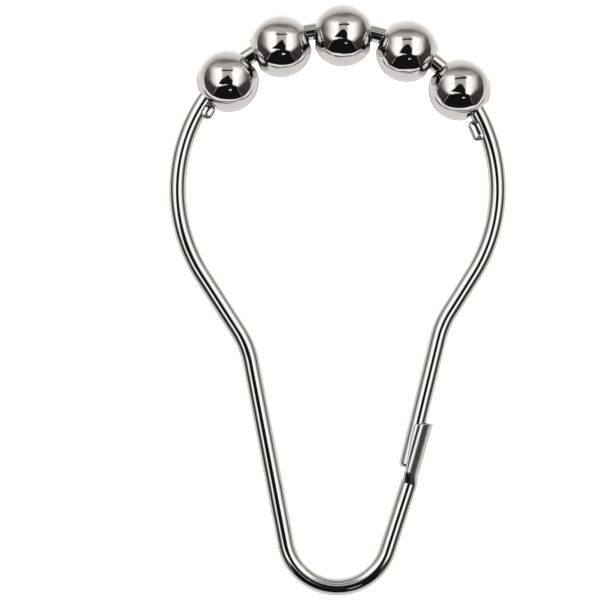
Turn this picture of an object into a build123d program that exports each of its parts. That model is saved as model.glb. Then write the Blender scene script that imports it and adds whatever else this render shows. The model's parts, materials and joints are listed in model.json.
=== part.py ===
from build123d import *
import os
from math import asin, atan2, cos, degrees, hypot, radians, sin, sqrt

# Shower curtain hook, in millimetres and degrees.
# The wire lies in the XZ plane, with +Z up as the hook hangs. The origin is the
# centre of the round loop that goes over the curtain rod, which runs along Y.
# A lean is measured from the vertical, and each limb leans in towards the bottom.

# The bent wire
wire_diameter = 2.0
loop_radius = 18.65           # loop centre to the wire's centre line
left_shoulder_lean = 32.7
right_shoulder_lean = 32.2
left_shoulder_length = 9.7    # end of the round loop to the waist's corner
right_shoulder_length = 6.84
latch_limb_lean = 17.8
waist_bend_radius = 10.0      # centre line, between a shoulder and its limb
bottom_bend_radius = 6.1      # centre line
loop_to_bend = 21.6           # loop's lowest point, if it were closed, to the bottom bend's centre
latch_limb_length = 8.1       # straight wire between the bottom bend and the neck

# The latch, rolled from the stamped end of the wire
sheet_thickness = 0.5
latch_clearance = 0.1         # between the free limb and the trough
trough_to_limb_angle = 2.07   # how much more the trough leans than the limb in it
trough_height = 5.45          # floor to top rim, along the lips
trough_inset = 0.8            # trough's axis inside the latch limb's axis
neck_length = 1.55            # end of the round wire to the trough's floor
neck_notch = 0.2              # how deep the stamping bites into the round wire
neck_notch_slope = 0.45       # length of the notch's sloping shoulder
lip_reach_floor = 0.05        # lip's edge inside the trough's axis, at the floor
lip_reach_middle = 0.37
lip_reach_rim = 0.51
trough_rim_bevel = 0.1
free_end_gap = 0.2            # free end to the trough's floor
free_end_round = 0.6
floor_bevel = 0.4

# The roller balls
ball_diameter = 7.25
ball_wall = 0.4
bore_diameter = 3.0
bore_bevel = 0.15
running_gap = 0.05            # wire to bore, where the curved wire comes nearest
ball_gaps = (0.14, 0.1, 0.38, 0.25)    # free space between each ball and the next
ball_lifts = (0, 0, 0.02, 0.11, 0.47)  # share of its play that each ball is raised by
train_angle = 87.3            # middle of the row of balls, round from +X

# The stops pinched out of the wire at both ends of the row
stop_lengths = (1.8, 2.5)     # left, right
stop_width = 1.5              # half of it stands proud of the wire
stop_thickness = 1.2
stop_corner = 0.6
stop_edge_bevel = 0.2
stop_gaps = (0.1, 0.7)        # free space between a stop and its end ball

wire_radius = wire_diameter / 2
bottom_bend_drop = loop_radius + loop_to_bend
cavity_radius = wire_radius + latch_clearance
trough_radius = cavity_radius + sheet_thickness
ball_radius = ball_diameter / 2
bore_radius = bore_diameter / 2


def polar(radius, angle):
    """Offset in the wire's plane, at an angle round from +X."""
    return Vector(radius * cos(radians(angle)), 0, radius * sin(radians(angle)))


def up_along(lean):
    """Direction that points up and leans to the right."""
    return Vector(sin(radians(lean)), 0, cos(radians(lean)))


def left_of(lean):
    """Direction square to up_along, to its left."""
    return Vector(-cos(radians(lean)), 0, sin(radians(lean)))


def lean_of(low, high):
    """Lean of the line between two points."""
    return degrees(atan2(high.X - low.X, high.Z - low.Z))


# Places along the wire
loop_right = polar(loop_radius, -right_shoulder_lean)
loop_left = polar(loop_radius, 180 + left_shoulder_lean)
left_waist = loop_left - up_along(-left_shoulder_lean) * left_shoulder_length
right_waist = loop_right - up_along(right_shoulder_lean) * right_shoulder_length
bottom_centre = Vector(0, 0, -bottom_bend_drop)
left_limb_lean = -lean_of(bottom_centre, left_waist) - degrees(
    asin(bottom_bend_radius / hypot(left_waist.X, left_waist.Z + bottom_bend_drop))
)
bottom_left = bottom_centre + polar(bottom_bend_radius, 180 + left_limb_lean)
bottom_right = bottom_centre + polar(bottom_bend_radius, -latch_limb_lean)
latch_start = bottom_right + up_along(latch_limb_lean) * latch_limb_length
trough_floor = (
    latch_start
    + up_along(latch_limb_lean) * neck_length
    + left_of(latch_limb_lean) * trough_inset
)
trough_lean = lean_of(trough_floor, right_waist) + trough_to_limb_angle
free_end = trough_floor + up_along(trough_lean) * free_end_gap

# The latch: the round wire necks down and spreads to a trough, open to the inside
neck_plane = Plane(
    origin=latch_start, x_dir=-left_of(latch_limb_lean),
    z_dir=up_along(latch_limb_lean),
)
trough_plane = Plane(
    origin=trough_floor, x_dir=-left_of(trough_lean),
    z_dir=up_along(trough_lean),
)
trough_run = 1.5 * trough_height
notch_low = latch_start + left_of(latch_limb_lean) * wire_radius
notch_high = (
    latch_start
    + up_along(latch_limb_lean) * neck_notch_slope
    + left_of(latch_limb_lean) * (wire_radius - neck_notch)
)
lip_low, lip_middle, lip_high = (
    trough_floor + up_along(trough_lean) * height + left_of(trough_lean) * reach
    for height, reach in (
        (0, lip_reach_floor),
        (trough_height / 2, lip_reach_middle),
        (trough_height, lip_reach_rim),
    )
)
trough_top = Plane.XY.offset(lip_high.Z)
clear_of_latch = Vector(-2 * trough_radius, 0, 0)

with BuildPart() as cavity:
    with BuildSketch(trough_plane):
        Circle(cavity_radius)
        Rectangle(
            2 * trough_radius, 2 * cavity_radius, align=(Align.MAX, Align.CENTER)
        )
    extrude(amount=trough_run)
    chamfer(cavity.faces().sort_by_distance(trough_plane.origin)[0].edges(), floor_bevel)

with BuildPart() as latch:
    with BuildSketch(neck_plane):
        Circle(wire_radius)
    with BuildSketch(trough_plane):
        Circle(trough_radius)
    loft()
    with BuildSketch(trough_plane):
        Circle(trough_radius)
    extrude(amount=trough_run)
    split(bisect_by=trough_top, keep=Keep.BOTTOM)
    add(cavity.part, mode=Mode.SUBTRACT)
    with BuildSketch(Plane.XZ):
        with BuildLine(Plane.XZ):
            Polyline(notch_low, notch_high, lip_low)
            ThreePointArc(lip_low, lip_middle, lip_high)
            Polyline(lip_high, lip_high + clear_of_latch, notch_low + clear_of_latch, notch_low)
        make_face()
    extrude(amount=2 * trough_radius, both=True, mode=Mode.SUBTRACT)
    chamfer(latch.faces().sort_by(Axis.Z)[-1].edges(), trough_rim_bevel)

# The row of balls, laid out round the loop
bore_inner_half = sqrt((ball_radius - ball_wall) ** 2 - bore_radius ** 2)
ball_play = bore_radius - wire_radius - running_gap
ball_orbit = sqrt(loop_radius ** 2 - bore_inner_half ** 2) - ball_play
ball_half_run = degrees(atan2(sqrt(ball_radius ** 2 - bore_radius ** 2), ball_orbit))
pitches = [degrees(2 * asin((ball_diameter + gap) / 2 / ball_orbit)) for gap in ball_gaps]
ball_angles = [
    train_angle + sum(pitches) / 2 - sum(pitches[:ball])
    for ball in range(len(pitches) + 1)
]
stop_orbit = loop_radius - wire_radius
left_stop_angle = ball_angles[0] + ball_half_run + degrees(
    stop_gaps[0] / ball_orbit + stop_lengths[0] / 2 / stop_orbit
)
right_stop_angle = ball_angles[-1] - ball_half_run - degrees(
    stop_gaps[1] / ball_orbit + stop_lengths[1] / 2 / stop_orbit
)


def make_stop_pad(length, angle):
    """Flat pad with bevelled edges, pinched out of the wire's inner side."""
    centre = polar(stop_orbit, angle)
    face = Plane(origin=centre, x_dir=polar(1, angle + 90), z_dir=(0, -1, 0))
    with BuildPart() as pad:
        with BuildSketch(face):
            RectangleRounded(length, stop_width, stop_corner)
        extrude(amount=stop_thickness / 2, both=True)
        chamfer(pad.faces().filter_by(Axis.Y).edges(), stop_edge_bevel)
    with BuildPart() as dent:
        with BuildSketch(face.offset(stop_thickness / 2)):
            RectangleRounded(length, stop_width, stop_corner)
            offset(amount=-stop_edge_bevel, mode=Mode.REPLACE)
        extrude(amount=wire_diameter)
        mirror(about=Plane.XZ)
    return pad.part, dent.part


stop_pads = [
    make_stop_pad(length, angle)
    for length, angle in zip(stop_lengths, (left_stop_angle, right_stop_angle))
]

# The whole wire
with BuildPart() as hook_wire:
    with BuildLine(Plane.XZ) as centre_line:
        FilletPolyline(free_end, right_waist, loop_right, radius=waist_bend_radius)
        CenterArc((0, 0), loop_radius, -right_shoulder_lean,
                  180 + right_shoulder_lean + left_shoulder_lean)
        FilletPolyline(loop_left, left_waist, bottom_left, radius=waist_bend_radius)
        CenterArc(bottom_centre, bottom_bend_radius, 180 + left_limb_lean,
                  180 - left_limb_lean - latch_limb_lean)
        Line(bottom_right, latch_start)
    with BuildSketch(Plane(origin=free_end, z_dir=right_waist - free_end)):
        Circle(wire_radius)
    sweep()
    rings = hook_wire.edges().filter_by(GeomType.CIRCLE)
    fillet(rings.sort_by_distance(free_end)[0], free_end_round)
    for pad, dent in stop_pads:
        add(dent, mode=Mode.SUBTRACT)
        add(pad)
    add(latch.part)
hook_wire.part.label = "hook_wire"


def make_ball(angle, lift):
    """Hollow ball with a bore along the wire, turned about the bore."""
    centre = polar(ball_orbit + 2 * ball_play * lift, angle)
    along = polar(1, angle + 90)
    with BuildPart() as ball:
        with BuildSketch(Plane(origin=centre, x_dir=(0, 1, 0), z_dir=polar(1, angle))) as shell:
            Circle(ball_radius)
            Circle(ball_radius - ball_wall, mode=Mode.SUBTRACT)
            with Locations((bore_radius, 0)):
                Rectangle(2 * ball_diameter, 2 * ball_diameter,
                          align=(Align.MAX, Align.CENTER), mode=Mode.SUBTRACT)
            chamfer(shell.vertices().sort_by_distance((0, 0))[-2:], bore_bevel)
        revolve(axis=Axis(centre, along))
    return ball.part


os.makedirs("parts", exist_ok=True)
export_step(hook_wire.part, "parts/hook_wire.step")
for number, (angle, lift) in enumerate(zip(ball_angles, ball_lifts), start=1):
    roller_ball = make_ball(angle, lift)
    roller_ball.label = f"roller_ball_{number}"
    export_step(roller_ball, f"parts/roller_ball_{number}.step")
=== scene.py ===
import json
from math import asin, atan2, ceil, cos, dist, pi, radians, sin, sqrt, tan

import bpy
import numpy as np
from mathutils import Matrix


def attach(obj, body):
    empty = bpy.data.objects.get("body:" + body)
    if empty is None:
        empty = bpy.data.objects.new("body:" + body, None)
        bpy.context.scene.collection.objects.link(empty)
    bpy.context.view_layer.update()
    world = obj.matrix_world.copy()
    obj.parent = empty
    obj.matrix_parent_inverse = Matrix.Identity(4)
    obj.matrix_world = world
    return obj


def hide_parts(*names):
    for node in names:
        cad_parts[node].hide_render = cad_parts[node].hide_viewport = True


# Shower curtain hook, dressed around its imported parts. Metres, +Z up, the hook in
# the XZ plane. Outlines and places are in the wire's plane as (x, z) pairs.
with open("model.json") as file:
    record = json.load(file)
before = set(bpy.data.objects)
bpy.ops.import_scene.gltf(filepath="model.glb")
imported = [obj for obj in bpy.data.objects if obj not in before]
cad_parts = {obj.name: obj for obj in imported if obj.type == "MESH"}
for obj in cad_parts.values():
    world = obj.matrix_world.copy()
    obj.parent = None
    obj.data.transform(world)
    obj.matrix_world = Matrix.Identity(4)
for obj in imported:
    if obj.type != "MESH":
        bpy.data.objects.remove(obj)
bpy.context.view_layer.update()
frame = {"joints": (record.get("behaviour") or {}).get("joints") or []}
mm = 0.001

# The bent wire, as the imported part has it
wire_radius = 1.0 * mm
loop_radius = 18.65 * mm
left_shoulder_lean = radians(32.7)
right_shoulder_lean = radians(32.2)
left_limb_lean = radians(10.9)
free_limb_lean = radians(13.7)
latch_limb_lean = radians(17.8)
waist_bend_radius = 10.0 * mm
bottom_bend_radius = 6.1 * mm
bottom_bend_drop = 40.25 * mm
latch_limb_length = 8.1 * mm

# The latch
sheet_thickness = 0.5 * mm
trough_radius = 1.6 * mm
trough_lean = radians(15.8)
trough_height = 5.45 * mm
trough_inset = 0.8 * mm
neck_length = 1.55 * mm
neck_notch = 0.2 * mm
neck_notch_slope = 0.45 * mm
neck_plain_share = 0.07       # share of the neck at each end that doesn't widen
neck_even_share = 0.7         # how much of the widening is even, the rest being a smooth swell
lip_reaches = (0.05 * mm, 0.37 * mm, 0.51 * mm)    # at the floor, halfway and at the rim
lip_round = 0.13 * mm         # how much the sheet's edges are softened
lip_allowance = 0.06 * mm     # what the softening takes off the lips
trough_flats = 0.045          # half the share by which the sheet is flatter on either side of its flanks
trough_floor_depth = 0.25 * mm    # half the height over which the solid bar turns hollow
trough_inside_turn = 0.7 * pi    # how far round from its back the trough's inside can reach
solid_face_share = 0.9        # share of a solid bar's cut face over which the inside's points lie
rim_round = 0.12 * mm
free_end_gap = 0.2 * mm
free_end_round = 0.6 * mm

# The balls
ball_radius = 3.62 * mm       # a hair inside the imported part's
ball_wall = 0.4 * mm
bore_radius = 1.5 * mm
bore_rim_round = 0.15 * mm

# The stops pinched out of the wire
stop_lengths = (1.8 * mm, 2.5 * mm)
stop_gaps = (0.1 * mm, 0.7 * mm)
stop_width = 1.5 * mm
stop_thickness = 1.2 * mm
stop_corner = 0.6 * mm
stop_edge_round = 0.26 * mm
stop_wall = 0.08 * mm         # half the width of the die mark's wall
stop_dish = 0.12 * mm         # how deep the middle of a pad's face is dished
stop_dish_share = 0.66        # the dish's width as a share of the pad's

# How much rougher the die leaves the plating
stop_dulling = 0.05
latch_dulling = 0.15
latch_dulling_run = 1 / 6     # share of the latch over which it sets in

# The plating. Noise scales are per metre, and heights are in millimetres.
bright_plating = (0.66, 0.653, 0.64)
hazy_plating = (0.62, 0.617, 0.61)
haze_scale = 420.0
wave_scale = 260.0
pit_scale = 1500.0
pit_radius = 0.1              # in the pits' own cells
pit_height = -0.0006
line_height = 0.0004
line_roughness = 0.02
clear_roughness = 0.02
hazy_roughness = 0.055

# How finely the meshes are divided
points_round_wire = 128
straight_step = 1.2 * mm
bend_step = 0.33 * mm
fine_step = 0.04 * mm
fine_margin = 0.2 * mm        # finely divided wire beyond each end of a stop
fine_run = 0.3 * mm           # and ahead of the latch
half_round_points = 721       # in half of a latch section's circles, before they are cut
outline_points = 512          # in the section's outline while it is being softened
profile_points = 160          # in each half of a stop's profile before it is spread evenly
stop_outer_share = 0.55       # share of a stop section's points on the side that the die leaves round
rings_at_tip = 11
rings_along_neck = 50
rings_along_trough = 50
rings_at_rim = 6
points_round_ball = 144
points_over_ball = 97
points_round_bore_rim = 10
points_inside_ball = 25
closing_length = 0.1          # what the surface coordinates take for a ball outline's closing edge

# The studio's brightness
tent_light = 0.93
tent_top_gain = 0.45
flank_light = 0.5
opening_light = 0.6
lower_line_dark = 0.15
lower_line_bright = 1.2
back_light = 0.95
back_card_light = 0.04
wall_light = 0.14
ceiling_light = 0.6
ceiling_shade = 0.22
backdrop_light = 0.5
column_light = 0.62
window_light = 1.55
window_edge_light = 0.72
bar_light = 0.03
dim_side_light = 0.06
stand_light = 0.01
floor_light = 0.01
outer_floor_light = 0.045
left_seam_light = 0.42
right_seam_light = 0.3
glint_light = 1.3
lamp_light = 1.4
plain_light = 1.3             # all that isn't mirrored
dark_tint = (1, 0.965, 0.9, 1)
light_tint = (1, 0.995, 0.985, 1)

# The view: the photo's frame is 70 mm wide, and its middle is left of and below the loop's centre
lens = 200.0
sensor = 36.0
frame_width = 69.96 * mm
frame_middle = (-4.365 * mm, -12.88 * mm)


# Plane geometry
def up_along(lean):
    """Direction that points up and leans to the right."""
    return np.array((sin(lean), cos(lean)))


def left_of(lean):
    """Direction square to up_along, to its left."""
    return np.array((-cos(lean), sin(lean)))


def polar(radius, angle):
    """Offset at an angle round from +X."""
    return radius * np.array((cos(angle), sin(angle)))


def crossing(start_a, lean_a, start_b, lean_b):
    """Meeting point of two leaning lines."""
    directions = np.column_stack((up_along(lean_a), -up_along(lean_b)))
    return start_a + up_along(lean_a) * np.linalg.solve(directions, start_b - start_a)[0]


def smooth(t):
    """Soft step from 0 to 1."""
    t = np.clip(t, 0, 1)
    return t * t * (3 - 2 * t)


def distances_along(points):
    """Each point's distance along the line through all of them."""
    return np.concatenate(([0], np.cumsum(np.linalg.norm(np.diff(points, axis=0), axis=1))))


# Places along the wire
loop_right = polar(loop_radius, -right_shoulder_lean)
loop_left = polar(loop_radius, pi + left_shoulder_lean)
bottom_centre = np.array((0, -bottom_bend_drop))
bottom_left = bottom_centre + polar(bottom_bend_radius, pi + left_limb_lean)
bottom_right = bottom_centre + polar(bottom_bend_radius, -latch_limb_lean)
latch_start = bottom_right + up_along(latch_limb_lean) * latch_limb_length
trough_floor = (
    latch_start
    + up_along(latch_limb_lean) * neck_length
    + left_of(latch_limb_lean) * trough_inset
)
free_end = trough_floor + up_along(trough_lean) * free_end_gap
left_waist = crossing(loop_left, -left_shoulder_lean, bottom_left, -left_limb_lean)
right_waist = crossing(loop_right, right_shoulder_lean, free_end, free_limb_lean)


# The wire's centre line, as points from the free end over the loop and down to the latch
def straight(start, end, step=straight_step):
    """Points along a straight run, without its end."""
    count = ceil(np.linalg.norm(end - start) / step)
    return [start + (end - start) * k / count for k in range(count)]


def bend(centre, radius, start_angle, turn, step=bend_step):
    """Points round an arc, without its end."""
    count = ceil(abs(turn) * radius / step)
    return [centre + polar(radius, start_angle + turn * k / count) for k in range(count)]


def rounded_corner(start, corner, end, radius):
    """Points of a straight run, the round bend at the corner, and the next run."""
    into = (corner - start) / np.linalg.norm(corner - start)
    out = (end - corner) / np.linalg.norm(end - corner)
    turn = atan2(into[0] * out[1] - into[1] * out[0], into @ out)
    tangent = radius * tan(abs(turn) / 2)
    side = 1 if turn > 0 else -1
    first, last = corner - into * tangent, corner + out * tangent
    centre = first + side * radius * np.array((-into[1], into[0]))
    start_angle = atan2(*(first - centre)[::-1])
    return straight(start, first) + bend(centre, radius, start_angle, turn) + straight(last, end)


def ball_places():
    """Each ball's centre in the wire's plane, and its direction along the bore, left to right."""
    places = []
    for joint in sorted(frame["joints"], key=lambda j: j["name"]):
        centre = np.array(joint["pos_m"])[[0, 2]]
        along = np.array(joint["axis"])[[0, 2]]
        places.append((joint["child"], centre, along))
    return places


def stop_places():
    """Each stop's angle round the loop, and its length."""
    orbits = [(np.linalg.norm(centre), atan2(*centre[::-1])) for _, centre, _ in ball_places()]
    half_run = sqrt(ball_radius ** 2 - bore_radius ** 2)
    stop_orbit = loop_radius - wire_radius
    places = []
    for side, (orbit, angle), length, gap in zip(
        (1, -1), (orbits[0], orbits[-1]), stop_lengths, stop_gaps
    ):
        beside = atan2(half_run, orbit) + gap / orbit + length / 2 / stop_orbit
        places.append((angle + side * beside, length))
    return places


def loop_points(stops):
    """Points round the loop, close together at the stops."""
    start, end = -right_shoulder_lean, pi + left_shoulder_lean
    count = ceil((end - start) * loop_radius / bend_step)
    angles = list(np.linspace(start, end, count, endpoint=False))
    for middle, length in stops:
        half = (length / 2 + fine_margin) / loop_radius
        clear = half + bend_step / 2 / loop_radius
        angles = [angle for angle in angles if abs(angle - middle) > clear]
        fine_count = ceil(2 * half * loop_radius / fine_step)
        angles += list(np.linspace(middle - half, middle + half, fine_count))
    return [polar(loop_radius, angle) for angle in sorted(angles)]


def wire_points(stops):
    """Points along the plain wire, from behind the free end's rounding to the latch."""
    start = free_end + up_along(free_limb_lean) * free_end_round
    fine_start = latch_start - up_along(latch_limb_lean) * fine_run
    bottom_turn = pi - left_limb_lean - latch_limb_lean
    points = (
        rounded_corner(start, right_waist, loop_right, waist_bend_radius)
        + loop_points(stops)
        + rounded_corner(loop_left, left_waist, bottom_left, waist_bend_radius)
        + bend(bottom_centre, bottom_bend_radius, pi + left_limb_lean, bottom_turn)
        + straight(bottom_right, fine_start)
        + straight(fine_start, latch_start, fine_step)
    )
    kept = [points[0]]
    for point in points[1:]:
        if np.linalg.norm(point - kept[-1]) > fine_step / 4:
            kept.append(point)
    return np.array(kept)


def is_on_loop(point):
    """Whether a point of the centre line is one of the loop's."""
    return abs(np.linalg.norm(point) - loop_radius) < fine_step and point[1] > -loop_radius / 2


# Cross sections: closed outlines of (inward, across) pairs, the same count in each,
# from the outermost point round to it again
def spread_along(line, count):
    """An open line with its points set out at even distances."""
    distances = distances_along(line)
    at = np.linspace(0, distances[-1], count)
    return np.column_stack([np.interp(at, distances, line[:, k]) for k in range(2)])


def spread_round(outline, count):
    """A closed outline with its points set out at even distances."""
    return spread_along(np.vstack((outline, outline[:1])), count + 1)[:-1]


def with_mirror_image(half):
    """A closed outline from its half, which starts and ends on the wire's plane."""
    return np.vstack((half, half[-2:0:-1] * (1, -1)))


def round_section(radius):
    """Plain round outline."""
    angles = np.arange(points_round_wire) * 2 * pi / points_round_wire
    return np.column_stack((-radius * np.cos(angles), radius * np.sin(angles)))


def rounded_off(outline, radius):
    """A closed outline of even points with its corners softened."""
    perimeter = distances_along(np.vstack((outline, outline[:1])))[-1]
    waves = np.fft.fft(outline[:, 0] + 1j * outline[:, 1])
    turns = np.fft.fftfreq(len(outline), 1 / len(outline))
    softened = np.fft.ifft(waves * np.exp(-0.5 * (2 * pi * turns * radius / perimeter) ** 2))
    return np.column_stack((softened.real, softened.imag))


def latch_section(back, radius, cut, hollow, flats, edge_round):
    """Outline across the latch, whose back is that far out from the station. It is cut off at a
    distance inside the station, and hollow by a share, from a solid bar's 0 to the trough's 1."""
    centre = radius - back
    angles = np.linspace(0, pi, half_round_points)
    reach = radius * (1 - flats * (1 - np.cos(4 * angles)))
    outer = np.column_stack((centre - reach * np.cos(angles), reach * np.sin(angles)))
    outer = outer[outer[:, 0] < cut]
    inner_radius = radius - sheet_thickness
    inner = np.column_stack((centre - inner_radius * np.cos(angles), inner_radius * np.sin(angles)))
    inner = inner[(inner[:, 0] < cut) & (angles < trough_inside_turn)][::-1]
    face = np.linspace(min(inner[0, 1], solid_face_share * outer[-1, 1]), 0, len(inner))
    inner[:, 1] = face + (inner[:, 1] - face) * hollow
    inner[:, 0] = cut + (inner[:, 0] - cut) * hollow
    outline = spread_round(with_mirror_image(np.vstack((outer, inner))), outline_points)
    return spread_round(rounded_off(outline, edge_round), points_round_wire)


def distance_outside_pad(along, inward, length):
    """Distance outside a pad's rounded outline, negative within it."""
    corner = np.column_stack((
        np.full_like(inward, abs(along) - length / 2 + stop_corner),
        np.abs(inward - wire_radius) - stop_width / 2 + stop_corner,
    ))
    beyond = np.linalg.norm(np.maximum(corner, 0), axis=1)
    return beyond + np.minimum(corner.max(axis=1), 0) - stop_corner


def pad_height(outside):
    """Height of a pad's dished face, which is rounded off at its edge."""
    from_edge = np.clip(-outside / stop_edge_round, 0, 1)
    from_middle = np.clip(1 + outside / (stop_width / 2), 0, 1) / stop_dish_share
    lost_at_edge = stop_edge_round * (1 - np.sqrt(1 - (1 - from_edge) ** 2))
    dish = stop_dish * np.maximum(1 - from_middle ** 2, 0) ** 1.5
    return (stop_thickness / 2 - lost_at_edge - dish) * (outside < 0)


def stop_section(along, length):
    """The wire where a stop is pinched out of it, that far along from the stop's middle."""
    count = points_round_wire // 2
    outer_count = int(count * stop_outer_share)
    angles = np.arange(outer_count + 1) * pi / count
    outer_side = np.column_stack((-np.cos(angles), np.sin(angles))) * wire_radius
    start = outer_side[-1, 0]
    inward = np.concatenate((
        start + (wire_radius - start) * np.sin(np.linspace(0, pi / 2, profile_points)),
        np.linspace(wire_radius, wire_radius + stop_width / 2, profile_points)[1:],
    ))
    outside = distance_outside_pad(along, inward, length)
    round_height = np.sqrt(np.maximum(wire_radius ** 2 - inward ** 2, 0))
    wall = smooth((outside + stop_edge_round + stop_wall) / (2 * stop_wall))
    height = np.maximum(pad_height(outside), round_height * wall)
    last = np.max(np.nonzero(height))
    profile = np.column_stack((inward[: last + 1], height[: last + 1]))
    profile = np.vstack((profile, (inward[last], 0)))
    inner_side = spread_along(profile, count - outer_count + 1)
    return with_mirror_image(np.vstack((outer_side, inner_side[1:])))


# Mesh making
def new_mesh(name, vertices, faces, uvs, struck=None):
    """Object from vertex, face and per-corner UV lists, shaded smooth. Struck says how much the die
    has dulled each vertex."""
    mesh = bpy.data.meshes.new(name)
    mesh.from_pydata([tuple(v) for v in vertices], [], faces)
    layer = mesh.uv_layers.new(name="surface")
    layer.data.foreach_set("uv", np.array(uvs, np.float32).ravel())
    if struck is not None:
        dulling = mesh.attributes.new("struck", "FLOAT", "POINT")
        dulling.data.foreach_set("value", np.array(struck, np.float32))
    mesh.shade_smooth()
    mesh.validate()
    made = bpy.data.objects.new(name, mesh)
    bpy.context.scene.collection.objects.link(made)
    return made


def skin(name, rings, lengths, struck):
    """Closed tube over rings of points with both ends capped."""
    count = len(rings[0])
    faces, uvs = [], []
    for k in range(len(rings) - 1):
        here, onward = k * count, (k + 1) * count
        for j in range(count):
            after = (j + 1) % count
            faces.append((here + j, here + after, onward + after, onward + j))
            uvs += [
                (lengths[k], j / count), (lengths[k], (j + 1) / count),
                (lengths[k + 1], (j + 1) / count), (lengths[k + 1], j / count),
            ]
    for k, cap in ((0, range(count - 1, -1, -1)), (len(rings) - 1, range(count))):
        faces.append(tuple(k * count + j for j in cap))
        uvs += [(lengths[k], j / count) for j in cap]
    return new_mesh(name, np.vstack(rings), faces, uvs, struck)


def set_out(station, direction, section, shift=0.0):
    """A section's points in space, square to the wire at the station and moved along it by shift,
    which is one distance or one for each point."""
    inward = np.array((-direction[1], direction[0]))
    shifts = np.broadcast_to(shift, len(section))
    flat = station + np.outer(section[:, 0], inward) + np.outer(shifts, direction)
    return np.column_stack((flat[:, 0], section[:, 1], flat[:, 1]))


def free_end_rings():
    """The free end's flat tip and rounded edge."""
    direction = up_along(free_limb_lean)
    rings = []
    for angle in np.linspace(0, pi / 2, rings_at_tip, endpoint=False):
        radius = wire_radius - free_end_round * (1 - sin(angle))
        along = free_end_round * (1 - cos(angle))
        rings.append(set_out(free_end, direction, round_section(radius), along))
    tip = set_out(free_end, direction, round_section((wire_radius - free_end_round) / 2))
    return [tip] + rings


def wire_rings():
    """The plain wire with its stops, and how much the die has dulled each point."""
    stops = stop_places()
    points = wire_points(stops)
    directions = np.gradient(points, axis=0)
    directions /= np.linalg.norm(directions, axis=1)[:, None]
    directions[0] = up_along(free_limb_lean)
    rings, struck = [], []
    for point, direction in zip(points, directions):
        section, dulled = round_section(wire_radius), np.zeros(points_round_wire)
        if is_on_loop(point):
            angle = atan2(point[1], point[0])
            direction = np.array((-sin(angle), cos(angle)))
            for middle, length in stops:
                along = (angle - middle) * (loop_radius - wire_radius)
                if abs(along) < length / 2:
                    section = stop_section(along, length)
                    dulled = stop_dulling * smooth(section[:, 0] / wire_radius)
        rings.append(set_out(point, direction, section))
        struck.append(dulled)
    return rings, struck


def trough_hollow(height):
    """How hollow the latch is, that far above the trough's floor."""
    return smooth((height + trough_floor_depth) / (2 * trough_floor_depth))


def neck_rings():
    """The neck, notched on the inside, where the round wire spreads towards the trough."""
    notch_bottom, floor_cut = wire_radius - neck_notch, trough_inset + lip_reaches[0]
    rings = []
    for t in np.linspace(0, 1, rings_along_neck, endpoint=False):
        along = t * neck_length
        if along < neck_notch_slope:
            cut = wire_radius - neck_notch * smooth(along / neck_notch_slope)
        else:
            rise = (along - neck_notch_slope) / (neck_length - neck_notch_slope)
            cut = notch_bottom + (floor_cut - notch_bottom) * rise
        widening = (t - neck_plain_share) / (1 - 2 * neck_plain_share)
        spread = neck_even_share * np.clip(widening, 0, 1) + (1 - neck_even_share) * smooth(widening)
        radius = wire_radius + (trough_radius - wire_radius) * spread
        back = wire_radius - (wire_radius + trough_inset - trough_radius) * smooth(t)
        lean = latch_limb_lean + (trough_lean - latch_limb_lean) * smooth(t)
        station = latch_start + up_along(latch_limb_lean) * along
        hollow = trough_hollow(along - neck_length)
        section = latch_section(back, radius, cut, hollow, trough_flats * t, lip_round * smooth(2 * t))
        rings.append(set_out(station, up_along(lean), section))
    return rings


def trough_rings():
    """The trough with its slanting lips and its level, rounded rim."""
    direction, slope = up_along(trough_lean), tan(trough_lean)
    lip_curve = np.polyfit((0, 0.5, 1), lip_reaches, 2)
    run = trough_height - rim_round + lip_reaches[2] * slope
    rings = []
    for t in np.linspace(0, 1, rings_along_trough):
        cut = np.polyval(lip_curve, t) + lip_allowance * smooth(4 * t)
        hollow = trough_hollow(t * run)
        section = latch_section(trough_radius, trough_radius, cut, hollow, trough_flats, lip_round)
        levelling = -t * section[:, 0] * slope
        rings.append(set_out(trough_floor, direction, section, levelling + t * run))
    for angle in np.linspace(0, pi / 2, rings_at_rim + 1)[1:]:
        inset = rim_round * (1 - cos(angle))
        radius = trough_radius - inset
        section = latch_section(radius, radius, cut - inset, 1.0, trough_flats, lip_round)
        height = run + rim_round * sin(angle) - section[:, 0] * slope
        rings.append(set_out(trough_floor, direction, section, height))
    return rings


def make_wire():
    """The whole wire in one skin."""
    ends, latch = free_end_rings(), neck_rings() + trough_rings()
    plain, struck = wire_rings()
    rings = ends + plain + latch
    dulled = latch_dulling * smooth(np.linspace(0, 1 / latch_dulling_run, len(latch)))
    struck = np.concatenate((
        np.zeros(len(ends) * points_round_wire), *struck, np.repeat(dulled, points_round_wire),
    ))
    middles = np.array([ring.mean(axis=0) for ring in rings])
    return skin("formed_wire", rings, distances_along(middles) / mm, struck)


def ball_outline():
    """Closed outline of a ball's wall as (along the bore, from the bore's axis)."""
    inner_radius = ball_radius - ball_wall
    rim_distance = bore_radius + bore_rim_round
    rim_centre = sqrt((ball_radius - bore_rim_round) ** 2 - rim_distance ** 2)
    rim_start = atan2(rim_distance, rim_centre)
    inner_start = asin(bore_radius / inner_radius)
    outside = [
        (ball_radius * cos(angle), ball_radius * sin(angle))
        for angle in np.linspace(rim_start, pi - rim_start, points_over_ball)
    ]
    rim = [
        (-rim_centre - bore_rim_round * cos(angle), rim_distance + bore_rim_round * sin(angle))
        for angle in np.linspace(rim_start, -pi / 2, points_round_bore_rim)[1:]
    ]
    inside = [
        (-inner_radius * cos(angle), inner_radius * sin(angle))
        for angle in np.linspace(inner_start, pi / 2, points_inside_ball)
    ]
    half = rim + inside
    return np.array(outside + half + [(-along, distance) for along, distance in half[-2::-1]])


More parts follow.
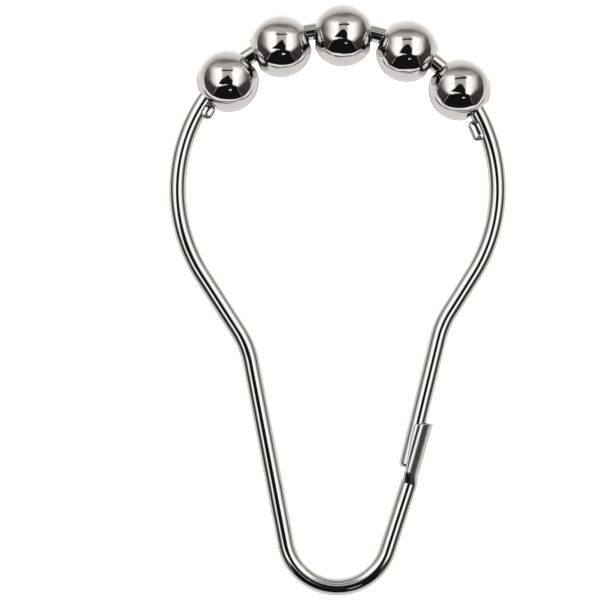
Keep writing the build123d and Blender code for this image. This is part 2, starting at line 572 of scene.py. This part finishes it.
def make_ball(name, centre, along):
    """Hollow ball, turned about its bore."""
    outline = ball_outline()
    count = len(outline)
    lengths = distances_along(outline) / mm
    lengths = np.append(lengths, lengths[-1] + closing_length)
    outward = np.array((along[1], -along[0]))
    vertices, faces, uvs = [], [], []
    for k in range(points_round_ball):
        turn = 2 * pi * k / points_round_ball
        flat = centre + np.outer(outline[:, 0], along) + np.outer(outline[:, 1] * cos(turn), outward)
        vertices += list(np.column_stack((flat[:, 0], outline[:, 1] * sin(turn), flat[:, 1])))
        here, after = k * count, (k + 1) % points_round_ball * count
        left, right = k / points_round_ball, (k + 1) / points_round_ball
        for j in range(count):
            onward = (j + 1) % count
            faces.append((here + j, here + onward, after + onward, after + j))
            uvs += [
                (left, lengths[j]), (left, lengths[j + 1]), (right, lengths[j + 1]), (right, lengths[j]),
            ]
    return new_mesh(name, vertices, faces, uvs)


# Node helpers
def node(tree, kind, inputs=None, **settings):
    """New node with its settings, and with its inputs linked or set."""
    made = tree.nodes.new(kind)
    for key, value in settings.items():
        setattr(made, key, value)
    for key, value in (inputs or {}).items():
        if isinstance(value, bpy.types.NodeSocket):
            tree.links.new(value, made.inputs[key])
        else:
            made.inputs[key].default_value = value
    return made


def calc(tree, operation, *values):
    """Result of a sum, product or other operation on values."""
    return node(tree, "ShaderNodeMath", dict(enumerate(values)), operation=operation).outputs[0]


def ramp(tree, value, low, high, to_low=0.0, to_high=1.0):
    """Soft step of a value between two limits."""
    inputs = {"Value": value, "From Min": low, "From Max": high, "To Min": to_low, "To Max": to_high}
    return node(tree, "ShaderNodeMapRange", inputs, interpolation_type="SMOOTHSTEP").outputs[0]


def noise(tree, vector, scale, detail, seed, roughness=0.5):
    """Noise whose pattern differs with the seed."""
    inputs = {"Vector": vector, "Scale": scale, "Detail": detail, "Roughness": roughness, "W": seed}
    return node(tree, "ShaderNodeTexNoise", inputs, noise_dimensions="4D").outputs[0]


# Materials
def warmed(colour, warmth):
    """A colour with a trace of red added and some blue taken away."""
    red, green, blue = colour
    return red + warmth, green, blue - 0.3 * warmth, 1


def chrome(name, line_scale, waviness, wave_detail, warmth, seed):
    """Polished plating: faint lines from drawing or turning, a soft haze, tiny pits and a slight
    unevenness. It is duller where a die has struck it."""
    material = bpy.data.materials.new(name)
    material.use_nodes = True
    tree = material.node_tree
    tree.nodes.clear()
    surface = node(tree, "ShaderNodeUVMap", uv_map="surface").outputs[0]
    place = node(tree, "ShaderNodeTexCoord").outputs["Object"]
    stretched = node(tree, "ShaderNodeMapping", {"Vector": surface, "Scale": line_scale}).outputs[0]
    lines = noise(tree, stretched, scale=1.0, detail=4.0, seed=seed, roughness=0.6)
    haze = noise(tree, place, scale=haze_scale, detail=5.0, seed=seed)
    waves = noise(tree, place, scale=wave_scale, detail=wave_detail, seed=seed + 3.0)
    pits = node(tree, "ShaderNodeTexVoronoi", {"Vector": place, "Scale": pit_scale}).outputs["Distance"]
    pitted = ramp(tree, pits, 0.0, pit_radius, 1.0, 0.0)
    struck = node(tree, "ShaderNodeAttribute", attribute_name="struck").outputs["Fac"]

    roughness = ramp(tree, haze, 0.35, 0.75, clear_roughness, hazy_roughness)
    roughness = calc(tree, "ADD", roughness, calc(tree, "MULTIPLY", lines, line_roughness))
    roughness = calc(tree, "ADD", roughness, struck)
    height = calc(tree, "MULTIPLY", lines, line_height)
    height = calc(tree, "MULTIPLY_ADD", waves, waviness, height)
    height = calc(tree, "MULTIPLY_ADD", pitted, pit_height, height)
    bump = node(tree, "ShaderNodeBump", {"Height": height, "Strength": 1.0, "Distance": mm}).outputs[0]
    colour = node(tree, "ShaderNodeValToRGB", {"Fac": haze})
    bright, hazy = colour.color_ramp.elements
    bright.position, bright.color = 0.3, warmed(bright_plating, warmth)
    hazy.position, hazy.color = 0.8, warmed(hazy_plating, warmth)
    shader = node(tree, "ShaderNodeBsdfPrincipled", {
        "Base Color": colour.outputs[0], "Metallic": 1.0, "Roughness": roughness, "Normal": bump,
    }).outputs[0]
    node(tree, "ShaderNodeOutputMaterial", {"Surface": shader})
    return material


def floor_material():
    """Dull, nearly white."""
    material = bpy.data.materials.new("pale_floor")
    material.use_nodes = True
    shader = material.node_tree.nodes["Principled BSDF"]
    shader.inputs["Base Color"].default_value = (0.9, 0.9, 0.9, 1)
    shader.inputs["Roughness"].default_value = 0.9
    return material


# The studio
class Studio:
    """Brightness by direction, painted in layers on a node tree. Places are in the flat coordinates
    that a small mirror ball shows to someone in front of the hook: across and up run from -1 to 1,
    and depth from -1, in front of the hook, to 0, behind it."""

    def __init__(self, tree):
        self.tree = tree
        direction = node(tree, "ShaderNodeTexCoord").outputs["Generated"]
        leaned = node(tree, "ShaderNodeVectorMath", {0: direction, 1: (0, -1, 0)}, operation="ADD").outputs[0]
        normal = node(tree, "ShaderNodeVectorMath", {0: leaned}, operation="NORMALIZE").outputs[0]
        self.across, self.depth, self.up = node(tree, "ShaderNodeSeparateXYZ", {0: normal}).outputs
        self.to_side = self.calc("ABSOLUTE", self.across)
        self.light = tent_light

    def calc(self, operation, *values):
        """Result of an operation on the studio's own tree."""
        return calc(self.tree, operation, *values)

    def rise(self, value, low, high, to_low=0.0, to_high=1.0):
        """Soft step up from one limit to the other."""
        return ramp(self.tree, value, low, high, to_low, to_high)

    def fall(self, value, low, high):
        """Soft step down from 1 to 0."""
        return ramp(self.tree, value, low, high, 1.0, 0.0)

    def within(self, value, low, high, soft):
        """1 between two limits, with soft ends."""
        return self.both(self.rise(value, low - soft, low + soft), self.fall(value, high - soft, high + soft))

    def both(self, *masks):
        """Where all of the masks hold."""
        total = masks[0]
        for mask in masks[1:]:
            total = self.calc("MULTIPLY", total, mask)
        return total

    def measure(self, origin, direction):
        """Distance from the origin, in one direction."""
        offset = -(direction[0] * origin[0] + direction[1] * origin[1])
        part = self.calc("MULTIPLY_ADD", self.across, direction[0], offset)
        return self.calc("MULTIPLY_ADD", self.up, direction[1], part)

    def left_of_line(self, start, end):
        """Distance to the left of the line from start to end."""
        length = dist(start, end)
        return self.measure(start, (-(end[1] - start[1]) / length, (end[0] - start[0]) / length))

    def card(self, across, up, soft, soft_up=None):
        """Upright rectangle with soft edges, from its limits across and up."""
        upright = self.within(self.up, *up, soft if soft_up is None else soft_up)
        return self.both(self.within(self.across, *across, soft), upright)

    def stroke(self, start, end, width, soft):
        """Thin straight line from start to end."""
        length = dist(start, end)
        along = self.measure(start, ((end[0] - start[0]) / length, (end[1] - start[1]) / length))
        aside = self.left_of_line(start, end)
        beside = self.within(aside, -width / 2, width / 2, soft)
        return self.both(beside, self.within(along, 0.0, length, 2 * soft))

    def inside(self, corners):
        """Distance in from the outline of a convex shape, whose corners go round to the left."""
        sides = [self.left_of_line(start, end) for start, end in zip(corners, corners[1:] + corners[:1])]
        least = sides[0]
        for side in sides[1:]:
            least = self.calc("MINIMUM", least, side)
        return least

    def paint(self, mask, brightness):
        """Lay a brightness over the layers below, where the mask is 1."""
        change = self.calc("SUBTRACT", brightness, self.light)
        self.light = self.calc("MULTIPLY_ADD", mask, change, self.light)


def depth_in_room(studio):
    """Distance in from the rounded outline of the tent's opening, through which the room shows."""
    half_width, half_height, middle, squareness, scale = 0.758, 0.648, 0.03, 2.3, 0.69
    from_side = studio.calc("ABSOLUTE", studio.calc("DIVIDE", studio.across, half_width))
    from_level = studio.calc("DIVIDE", studio.calc("SUBTRACT", studio.up, middle), half_height)
    from_side = studio.calc("POWER", from_side, squareness)
    from_level = studio.calc("POWER", studio.calc("ABSOLUTE", from_level), squareness)
    outward = studio.calc("POWER", studio.calc("ADD", from_side, from_level), 1 / squareness)
    return studio.calc("MULTIPLY_ADD", outward, -scale, scale)


def paint_tent(studio, room):
    """Light tent, brighter high at the rim of the view and dimmer at its flanks. Round the opening it
    is dim at the top, and has a dark line and a bright one at the bottom."""
    upper = studio.rise(studio.up, -0.1, 0.5)
    lower = studio.fall(studio.up, -0.32, -0.22)
    rim = studio.rise(studio.depth, -0.62, -0.1)
    studio.light = studio.calc("MULTIPLY_ADD", studio.both(upper, rim), tent_top_gain, tent_light)
    flanks = studio.both(studio.rise(studio.depth, -0.3, -0.2), studio.within(studio.up, -0.72, 0.4, 0.12))
    studio.paint(flanks, flank_light)
    studio.paint(studio.both(upper, studio.rise(room, -0.16, 0.0)), opening_light)
    studio.paint(studio.both(lower, studio.within(room, -0.095, -0.065, 0.008)), lower_line_dark)
    studio.paint(studio.both(lower, studio.within(room, -0.048, -0.004, 0.01)), lower_line_bright)


def paint_behind(studio):
    """Plain light behind the hook, with a small dark card in the middle."""
    studio.paint(studio.rise(studio.depth, -0.2, -0.13), back_light)
    studio.paint(studio.rise(studio.depth, -0.115, -0.095), back_card_light)


def paint_room(studio, room, in_room):
    """Dark walls, a grey ceiling with a shaded middle, and a backdrop with two bright windows, a grey
    column between them and a dark bar across it."""
    ceiling = studio.both(studio.rise(studio.up, 0.4, 0.5), studio.rise(room, 0.0, 0.12))
    shade = studio.both(studio.rise(studio.up, 0.48, 0.62), studio.within(studio.across, -0.26, 0.28, 0.16))
    window_glow = studio.rise(studio.to_side, 0.3, 0.54, window_light, window_edge_light)
    studio.paint(in_room, wall_light)
    studio.paint(studio.both(in_room, ceiling), ceiling_light)
    studio.paint(studio.both(in_room, shade), ceiling_shade)
    studio.paint(studio.card(across=(-0.575, 0.565), up=(-0.28, 0.47), soft=0.07), backdrop_light)
    studio.paint(studio.card(across=(-0.13, 0.2), up=(-0.28, 0.5), soft=0.04), column_light)
    studio.paint(studio.card(across=(-0.5, -0.15), up=(-0.3, 0.42), soft=0.045, soft_up=0.075), window_glow)
    studio.paint(studio.card(across=(0.16, 0.5), up=(-0.3, 0.4), soft=0.045, soft_up=0.075), window_glow)
    studio.paint(studio.card(across=(-0.16, 0.2), up=(0.29, 0.35), soft=0.02), bar_light)


def paint_stand(studio, in_room):
    """Dim stretches that rise at the sides, and a dark stand in front of the hook."""
    rising_sides = studio.calc("MULTIPLY_ADD", studio.to_side, 0.9, -0.5)
    below_sides = studio.rise(studio.calc("SUBTRACT", rising_sides, studio.up), -0.1, 0.1)
    corners = [(-0.27, -0.09), (0.15, -0.16), (0.145, 0.0), (0.05, 0.14), (-0.02, 0.14), (-0.155, 0.025)]
    studio.paint(studio.both(in_room, below_sides), dim_side_light)
    studio.paint(studio.rise(studio.inside(corners), -0.02, 0.01), stand_light)


def paint_floor(studio, in_room):
    """Dark floor, less dark beyond two seams, with a bright glint along its edge and a small lamp."""
    left_seam, right_seam = ((-0.33, -0.2), (-0.47, -0.44)), ((0.3, -0.2), (0.42, -0.46))
    off_middle = studio.calc("MAXIMUM", studio.calc("SUBTRACT", studio.to_side, 0.12), 0.0)
    edge = studio.calc("MULTIPLY_ADD", off_middle, -0.35, -0.135)
    floor = studio.both(in_room, studio.rise(studio.calc("SUBTRACT", edge, studio.up), -0.025, 0.025))
    beyond_seams = studio.calc(
        "MAXIMUM",
        studio.fall(studio.left_of_line(*left_seam), -0.02, 0.02),
        studio.rise(studio.left_of_line(*right_seam), -0.02, 0.02),
    )
    studio.paint(floor, floor_light)
    studio.paint(studio.both(floor, beyond_seams), outer_floor_light)
    studio.paint(studio.stroke(*left_seam, width=0.016, soft=0.005), left_seam_light)
    studio.paint(studio.stroke(*right_seam, width=0.016, soft=0.005), right_seam_light)
    studio.paint(studio.stroke((-0.27, -0.105), (-0.04, -0.135), width=0.022, soft=0.008), glint_light)
    studio.paint(studio.card(across=(0.06, 0.13), up=(-0.32, -0.285), soft=0.012), lamp_light)


def make_studio():
    """The world: mirrored rays see the painted studio, and all others plain light."""
    world = bpy.data.worlds.new("studio")
    bpy.context.scene.world = world
    world.use_nodes = True
    tree = world.node_tree
    tree.nodes.clear()
    studio = Studio(tree)
    room = depth_in_room(studio)
    paint_tent(studio, room)
    paint_behind(studio)

    # The opening's edge is sharp at the bottom and soft at the top
    outer_edge = studio.rise(studio.up, 0.2, 0.55, -0.008, -0.05)
    inner_edge = studio.rise(studio.up, 0.2, 0.55, 0.014, 0.07)
    in_room = studio.rise(room, outer_edge, inner_edge)
    paint_room(studio, room, in_room)
    paint_stand(studio, in_room)
    paint_floor(studio, in_room)

    tint = node(tree, "ShaderNodeValToRGB", {"Fac": studio.light})
    dark, light = tint.color_ramp.elements
    dark.color = dark_tint
    light.position, light.color = 0.8, light_tint
    rays = node(tree, "ShaderNodeLightPath").outputs
    mirrored_inputs = {"Color": tint.outputs[0], "Strength": studio.light}
    mirrored = node(tree, "ShaderNodeBackground", mirrored_inputs).outputs[0]
    plain = node(tree, "ShaderNodeBackground", {"Color": (1, 1, 1, 1), "Strength": plain_light}).outputs[0]
    shown = node(tree, "ShaderNodeMixShader", {0: rays["Is Glossy Ray"], 1: plain, 2: mirrored}).outputs[0]
    node(tree, "ShaderNodeOutputWorld", {"Surface": shown})


def make_floor():
    """Pale round floor well below the hanging hook. The studio's own floor is what the metal mirrors."""
    height, radius, count = -0.2, 2.0, 96
    corners = []
    for k in range(count):
        angle = 2 * pi * k / count
        corners.append((radius * cos(angle), radius * sin(angle), height))
    mesh = bpy.data.meshes.new("floor")
    mesh.from_pydata(corners, [], [tuple(range(count))])
    mesh.materials.append(floor_material())
    floor = bpy.data.objects.new("floor", mesh)
    bpy.context.scene.collection.objects.link(floor)
    floor.visible_glossy = False


def make_camera():
    """Camera straight in front, as far off as its lens needs for the frame's width."""
    data = bpy.data.cameras.new("camera")
    data.lens, data.sensor_width = lens, sensor
    data.clip_start, data.clip_end = 0.01, 10.0
    camera = bpy.data.objects.new("camera", data)
    distance = frame_width / (sensor / lens)
    camera.location = (frame_middle[0], -distance, frame_middle[1])
    camera.rotation_euler = (pi / 2, 0, 0)
    bpy.context.scene.collection.objects.link(camera)
    bpy.context.scene.camera = camera


make_camera()
make_studio()
make_floor()
bpy.context.scene.view_settings.view_transform = "Standard"

wire = make_wire()
wire.data.materials.append(chrome(
    "chrome_wire", line_scale=(0.02, 40.0, 1.0), waviness=0.03, wave_detail=1.0, warmth=0.0, seed=1.0,
))
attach(wire, "hook_wire")
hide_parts("hook_wire")
for number, (node_name, centre, along) in enumerate(ball_places(), start=1):
    ball = make_ball(f"ball_{number}", centre, along)
    ball.data.materials.append(chrome(
        f"chrome_ball_{number}", line_scale=(2.0, 9.0, 1.0), waviness=0.2, wave_detail=2.0, warmth=0.014,
        seed=10.0 * number,
    ))
    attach(ball, node_name)
    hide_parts(node_name)
